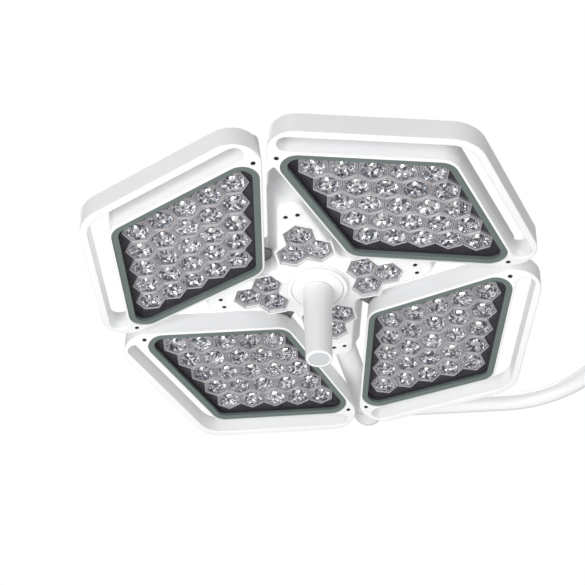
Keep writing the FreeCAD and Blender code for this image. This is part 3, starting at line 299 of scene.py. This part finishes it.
def lens_mesh(first_vertex):
    """One lens about the origin, its face up, with a corner of its hexagon at the given angle."""
    mesh = bmesh.new()
    before = None
    for share, height, six_sided, twist, finish in LENS_PROFILE:
        made = bmesh.ops.create_circle(mesh, segments=SPOKES, radius=1)["verts"]
        for vertex in made:
            turn = math.atan2(vertex.co.y, vertex.co.x)
            corner = math.pi / LENS_SIDES - (turn - first_vertex) % (2 * math.pi / LENS_SIDES)
            reach = share * LENS_APOTHEM / (math.cos(corner) if six_sided else 1)
            turn += twist * math.pi / SPOKES
            vertex.co = (reach * math.cos(turn), reach * math.sin(turn), height)
        ring = list({edge for vertex in made for edge in vertex.link_edges})
        if before:
            band = bmesh.ops.bridge_loops(mesh, edges=before[0] + ring)["faces"]
            if before[2]:
                band = bmesh.ops.triangulate(mesh, faces=band)["faces"]
            for face in band:
                face.material_index = before[1]
        before = (ring, finish, finish in (BOWL, DOME))
    bmesh.ops.edgeloop_fill(mesh, edges=before[0], mat_nr=DOME)
    bmesh.ops.recalc_face_normals(mesh, faces=mesh.faces)
    if sum(face.normal.z for face in mesh.faces if face.material_index == DOME) < 0:
        bmesh.ops.reverse_faces(mesh, faces=mesh.faces)
    data = bpy.data.meshes.new("one_lens")
    mesh.to_mesh(data)
    mesh.free()
    return data


def lens_group(name, one, places, node):
    """Repeat a lens at every place, as the stand-in for one CAD node of the head."""
    mesh = bmesh.new()
    for place in places:
        first = len(mesh.verts)
        mesh.from_mesh(one)
        mesh.verts.ensure_lookup_table()
        bmesh.ops.transform(mesh, matrix=place, verts=mesh.verts[first:])
    data = bpy.data.meshes.new(name)
    mesh.to_mesh(data)
    mesh.free()
    for material in lens_finishes:
        data.materials.append(material)
    piece = bpy.data.objects.new(name, data)
    bpy.context.collection.objects.link(piece)
    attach(piece, "head")
    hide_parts(node)


rim, rim_shader, rim_place = paint("lens_rim", Coat_Weight=0.8, Coat_Roughness=0.05)
rim_tone = rim_place.noise(60, 3).between((0.46, 0.44, 0.46), (0.74, 0.71, 0.73))
rim_place.plug(rim_shader.inputs["Base Color"], rim_tone)
rim_place.plug(rim_shader.inputs["Roughness"], rim_place.noise(400) * 0.12 + 0.12)

plate, plate_shader, plate_place = paint("lens_plate", Coat_Weight=1.0, Coat_Roughness=0.05)
plate_tone = plate_place.noise(160, 3).between((0.19, 0.18, 0.20), (0.36, 0.345, 0.37))
plate_place.plug(plate_shader.inputs["Base Color"], plate_tone)
plate_place.plug(plate_shader.inputs["Roughness"], plate_place.noise(500) * 0.12 + 0.1)

bowl, bowl_shader, bowl_place = paint("lens_bowl", Coat_Weight=1.0, Coat_Roughness=0.03, Metallic=0.75)
# Painted glints and painted shade: cell by cell, the bowl's base colour runs from near black to near
# white, standing in for the light and shade seen in its facets; the same cells also set its roughness
# and a bump.
bowl_facet_and_glint_cells = bowl_place.node("TexVoronoi", {}, {"Vector": bowl_place, "Scale": 260.0}, output=1)
bowl_facet_and_glint_level = bowl_facet_and_glint_cells.node("SeparateColor", {}, {"Color": bowl_facet_and_glint_cells})
bowl_painted_glint_and_shade = bowl_facet_and_glint_level.node("ValToRGB", {"stops": (
    (0.0, (0.11, 0.12, 0.15)), (0.30, (0.30, 0.31, 0.35)),
    (0.50, (0.64, 0.64, 0.67)), (0.75, (0.92, 0.92, 0.93)))}, {"Fac": bowl_facet_and_glint_level})
bowl_place.plug(bowl_shader.inputs["Base Color"], bowl_painted_glint_and_shade)
bowl_place.plug(bowl_shader.inputs["Roughness"], bowl_facet_and_glint_level * 0.12 + 0.06)
bowl_place.plug(bowl_shader.inputs["Normal"], bowl_facet_and_glint_level.bump(0.3, 0.0004))

dome, dome_shader, dome_place = paint("lens_dome", Coat_Weight=1.0, Coat_Roughness=0.03, Metallic=0.6)
# Painted glints and painted shade: cell by cell, the dome's base colour runs from near black to near
# white, standing in for the light and shade seen through and on it; the same cells also set its
# roughness and a bump.
dome_facet_and_glint_cells = dome_place.node("TexVoronoi", {}, {"Vector": dome_place, "Scale": 300.0}, output=1)
dome_facet_and_glint_level = dome_facet_and_glint_cells.node("SeparateColor", {}, {"Color": dome_facet_and_glint_cells})
dome_painted_glint_and_shade = dome_facet_and_glint_level.node("ValToRGB", {"stops": (
    (0.0, (0.05, 0.055, 0.07)), (0.30, (0.22, 0.23, 0.25)),
    (0.50, (0.60, 0.60, 0.62)), (0.75, (0.90, 0.90, 0.91)))}, {"Fac": dome_facet_and_glint_level})
dome_place.plug(dome_shader.inputs["Base Color"], dome_painted_glint_and_shade)
dome_place.plug(dome_shader.inputs["Roughness"], dome_facet_and_glint_level * 0.12 + 0.04)
dome_place.plug(dome_shader.inputs["Normal"], dome_facet_and_glint_level.bump(0.4, 0.0006))
lens_finishes = (rim, plate, bowl, dome)

petal_lens = lens_mesh(math.radians(30))
half_rows = LENS_ROWS // 2
for petal, angle in zip(PETALS, PETAL_ANGLES):
    around = Matrix.Rotation(math.radians(angle), 4, "Z")
    lean = Matrix.Rotation(-PETAL_TILT, 4, "Y")
    petal_place = LAMP @ around @ Matrix.Translation((PETAL_RING, 0, 0)) @ lean
    places = []
    for row in range(-half_rows, half_rows + 1):
        for column in range(-half_rows, half_rows + 1):
            across = LENS_PITCH * (row + column) / 2
            along = LENS_PITCH * (row - column) * math.cos(math.pi / LENS_SIDES)
            places.append(petal_place @ Matrix.Translation((across, along, 0)))
    lens_group(f"petal_{petal}_lens_array", petal_lens, places, f"petal_lenses_{petal}")

hub_lens = lens_mesh(0)
places = []
for turn in range(4):
    tip = LAMP @ Matrix.Rotation(turn * math.pi / 2, 4, "Z")
    places += [tip @ Matrix.Translation((x, y, CLUSTER_LEVEL)) for x, y in CLUSTER_SPOTS]
lens_group("hub_lens_clusters", hub_lens, places, "cluster_lenses")

# ---- Brackets and screws ----------------------------------------------------------------------
# Dark plated steel bars carry the petals and plug into the hub. The screws that hold the covers and
# brackets are blackened steel with hexagon sockets.
dark, dark_shader, dark_place = paint("dark_plating", Metallic=0.8)
dark_tone = dark_place.noise(120, 4).between((0.20, 0.205, 0.21), (0.30, 0.305, 0.31))
dark_place.plug(dark_shader.inputs["Base Color"], dark_tone)
dark_place.plug(dark_shader.inputs["Roughness"], dark_place.noise(600) * 0.25 + 0.3)
dark_place.plug(dark_shader.inputs["Normal"], dark_place.noise(1200).bump(0.2, 0.0002))
clothe(dark, *(f"petal_bracket_{petal}" for petal in PETALS))

black, black_shader, black_place = paint("black_oxide", Metallic=0.6)
black_tone = black_place.noise(400, 3).between((0.015, 0.016, 0.018), (0.05, 0.05, 0.055))
black_place.plug(black_shader.inputs["Base Color"], black_tone)
black_place.plug(black_shader.inputs["Roughness"], black_place.noise(900) * 0.2 + 0.32)
clothe(black, "petal_screws", "hub_screws")

# ---- Handle: focus core, detent ring, grip sleeve and end cap ---------------------------------
# The grip is a satin plastic sleeve that pulls off to be sterilised. It clips over a rubber ring
# on a ground steel core, and a grey cap closes its end.
grip, grip_shader, grip_place = paint("grip_white", Coat_Weight=0.1, Coat_Roughness=0.3)
grip_tone = grip_place.noise(12, 2).between((0.80, 0.80, 0.805), (0.84, 0.84, 0.845))
grip_place.plug(grip_shader.inputs["Base Color"], grip_tone)
grip_place.plug(grip_shader.inputs["Roughness"], grip_place.noise(250) * 0.14 + 0.38)
grip_place.plug(grip_shader.inputs["Normal"], grip_place.noise(2400, 2).bump(0.25, 0.0003))
clothe(grip, "handle_sleeve", "handle_core")

cap, cap_shader, cap_place = paint("cap_grey", Coat_Weight=0.1)
cap_tone = cap_place.noise(60, 3).between((0.50, 0.52, 0.53), (0.57, 0.59, 0.60))
cap_place.plug(cap_shader.inputs["Base Color"], cap_tone)
cap_place.plug(cap_shader.inputs["Roughness"], cap_place.noise(300) * 0.15 + 0.36)
cap_place.plug(cap_shader.inputs["Normal"], cap_place.noise(2600, 2).bump(0.25, 0.0003))
clothe(cap, "handle_end_cap")

steel, steel_shader, steel_place = paint("ground_steel", Metallic=1.0)
steel_stretch = steel_place.node("Mapping", {}, {"Vector": steel_place, "Scale": (1.0, 1.0, 14.0)})
steel_lines = steel_stretch.noise(300, 4)
steel_tone = steel_lines.between((0.46, 0.47, 0.48), (0.62, 0.63, 0.64))
steel_place.plug(steel_shader.inputs["Base Color"], steel_tone)
steel_place.plug(steel_shader.inputs["Roughness"], steel_lines * 0.2 + 0.2)
steel_place.plug(steel_shader.inputs["Normal"], steel_lines.bump(0.15, 0.0002))
clothe(steel, "arm_spindle", "spindle_clip", "pivot_nuts")

rubber, rubber_shader, rubber_place = paint("black_rubber")
rubber_tone = rubber_place.noise(300, 3).between((0.012, 0.012, 0.013), (0.03, 0.03, 0.032))
rubber_place.plug(rubber_shader.inputs["Base Color"], rubber_tone)
rubber_place.plug(rubber_shader.inputs["Roughness"], rubber_place.noise(700) * 0.2 + 0.6)
clothe(rubber, "detent_ring")

# ---- Arm: stub, elbow, yoke tube, end casting and swivel housing ------------------------------
# Steel tube and castings under a smooth white powder coat, with its slight orange peel.
coat, coat_shader, coat_place = paint("arm_white", Coat_Weight=0.35, Coat_Roughness=0.1)
coat_tone = coat_place.noise(7, 2).between((0.80, 0.805, 0.81), (0.85, 0.855, 0.86))
coat_place.plug(coat_shader.inputs["Base Color"], coat_tone)
coat_place.plug(coat_shader.inputs["Roughness"], coat_place.noise(80) * 0.12 + 0.24)
coat_place.plug(coat_shader.inputs["Normal"], coat_place.noise(700, 2).bump(0.12, 0.0004))
clothe(coat, "stub_tube", "yoke_elbow", "yoke_tube", "yoke_end", "swivel_housing")

bronze, bronze_shader, bronze_place = paint("bush_bronze", Metallic=0.9)
bronze_tone = bronze_place.noise(500, 4).between((0.35, 0.24, 0.11), (0.50, 0.36, 0.18))
bronze_place.plug(bronze_shader.inputs["Base Color"], bronze_tone)
bronze_place.plug(bronze_shader.inputs["Roughness"], bronze_place.noise(900) * 0.2 + 0.4)
clothe(bronze, "roll_bush", "pitch_bush")
